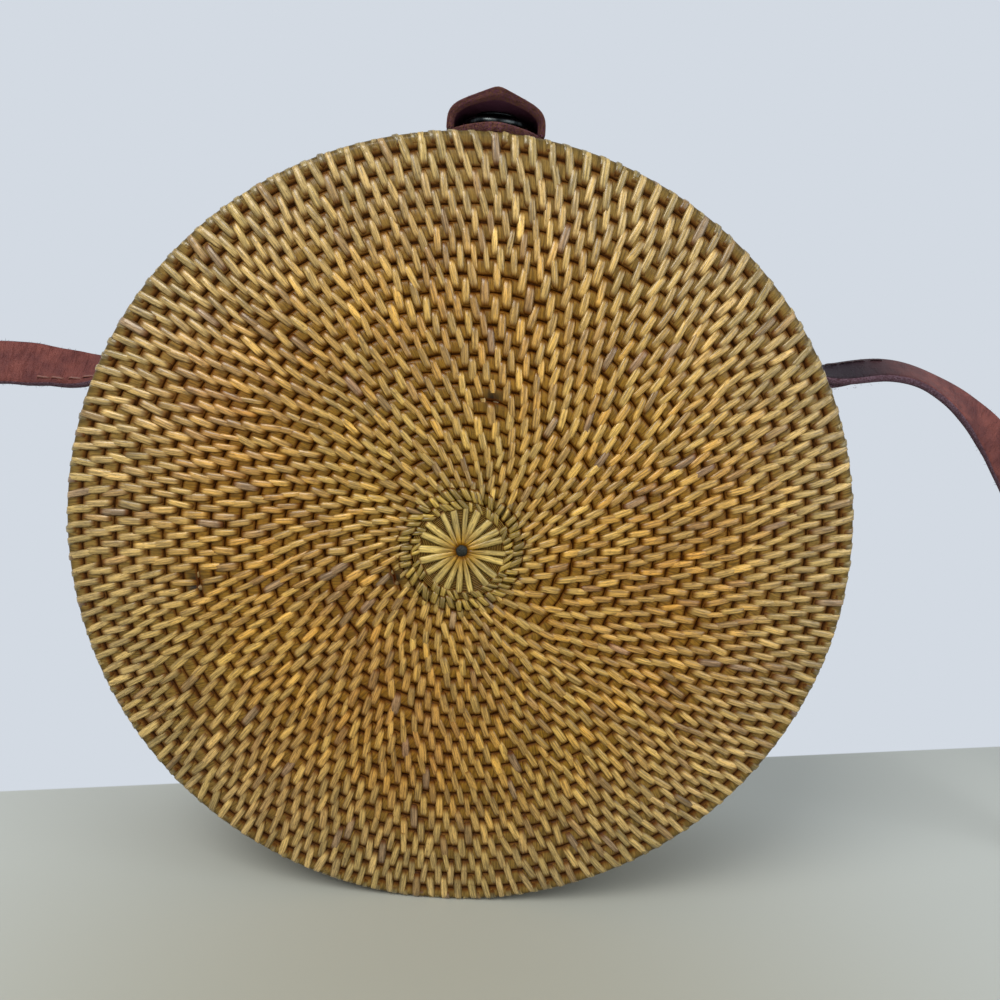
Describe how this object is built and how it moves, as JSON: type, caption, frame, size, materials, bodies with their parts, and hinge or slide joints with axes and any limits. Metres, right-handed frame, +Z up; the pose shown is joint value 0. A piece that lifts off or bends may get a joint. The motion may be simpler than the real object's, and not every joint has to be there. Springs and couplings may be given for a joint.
{
  "type": "shoulder bag",
  "caption": "Round coiled-cane shoulder bag, hinged at the bottom, closed by a leather tab with a press stud, with a flat leather strap.",
  "frame": {"origin": "on the ground under the seam between the two halves, in the middle of the hinge lashing", "axes": "+X across the faces, to the right seen from the front; +Y from the front face to the back face; +Z up"},
  "size_m": [0.419, 0.2063, 0.2101],
  "materials": {
    "cane_wall": "split cane wrapped over coils, honey to olive brown, smoked and lacquered",
    "cane_edge": "closely wrapped cane coil, satin",
    "cane_star": "flat cane strips, glossy",
    "cane_eye": "dark pressed knot",
    "cane_lashing": "flat wrapped cane, satin",
    "lining_cotton": "plain woven cotton",
    "lining_braid": "braided cord sewn over the lining's edge",
    "clasp_leather": "dark brown, fuzzy cut edges",
    "strap_leather": "reddish brown, fuzzy cut edges",
    "thread": "waxed thread",
    "snap_metal": "dark gunmetal plating",
    "snap_cap_metal": "antique brass",
    "rivet_metal": "plain nickel"
  },
  "bodies": {
    "back_half": {"back_shell": "cane_wall", "back_edge_coil": "cane_edge", "back_rosette": "cane_star", "back_eye": "cane_eye", "back_lining": "lining_cotton", "back_lining_cord": "lining_braid", "hinge_lashing_back": "cane_lashing", "ear_left": "cane_lashing", "ear_right": "cane_lashing", "shoulder_strap": "strap_leather", "clasp_tab_end": "clasp_leather", "clasp_tab_stitches": "thread"},
    "front_half": {"front_shell": "cane_wall", "front_edge_coil": "cane_edge", "front_rosette": "cane_star", "front_eye": "cane_eye", "front_lining": "lining_cotton", "front_lining_cord": "lining_braid", "clasp_base": "clasp_leather", "clasp_base_stitches": "thread", "snap_plate": "snap_metal", "snap_plate_rivet": "rivet_metal", "hinge_lashing_front": "cane_lashing"},
    "clasp_flap": {"clasp_tab": "clasp_leather", "snap_cap": "snap_cap_metal", "snap_button": "snap_metal"}
  },
  "joints": [
    {"name": "lid_hinge", "type": "hinge", "parent": "back_half", "child": "front_half", "pos_m": [0, 0, 0], "axis": [1, 0, 0], "range_deg": [0, 60]},
    {"name": "tab_hinge", "type": "hinge", "parent": "back_half", "child": "clasp_flap", "pos_m": [0, 0.0098, 0.202], "axis": [-1, 0, 0], "range_deg": [0, 110]}
  ]
}
